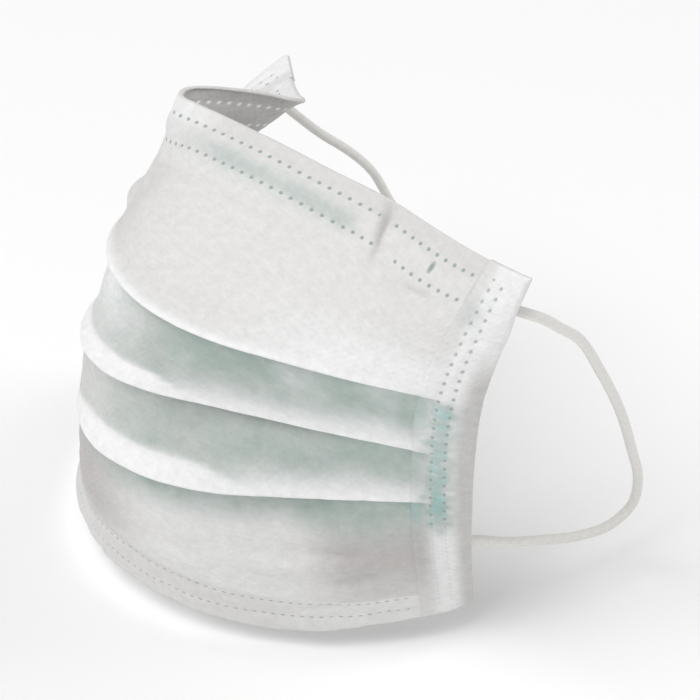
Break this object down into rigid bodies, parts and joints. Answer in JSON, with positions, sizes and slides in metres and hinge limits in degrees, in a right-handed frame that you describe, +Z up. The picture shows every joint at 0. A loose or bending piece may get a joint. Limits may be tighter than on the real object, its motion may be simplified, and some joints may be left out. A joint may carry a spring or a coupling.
{
  "type": "surgical face mask",
  "caption": "Pleated cloth face mask opened to its worn form, with rolled hems over a bendable nose wire, folded side bindings and elastic ear loops.",
  "frame": {"origin": "inside the nose bend, level with the top edge, where the mask sits on the bridge of the nose", "axes": "+Z up, the mask faces -Y, the wearer's left is +X"},
  "size_m": [0.1656, 0.1246, 0.0986],
  "materials": {
    "panel_cloth": "thermally bonded nonwoven, matt",
    "hem_cloth": "thermally bonded nonwoven, matt",
    "binding_cloth": "thermally bonded nonwoven, matt",
    "wire_plastic": "smooth extruded plastic over wire",
    "loop_elastic": "knitted elastic, matt"
  },
  "bodies": {
    "root": {"mask_panel": "panel_cloth", "top_hem": "hem_cloth", "bottom_hem": "hem_cloth", "nose_wire": "wire_plastic", "side_binding_left": "binding_cloth", "side_binding_right": "binding_cloth", "ear_loop_left": "loop_elastic", "ear_loop_right": "loop_elastic"}
  },
  "joints": []
}
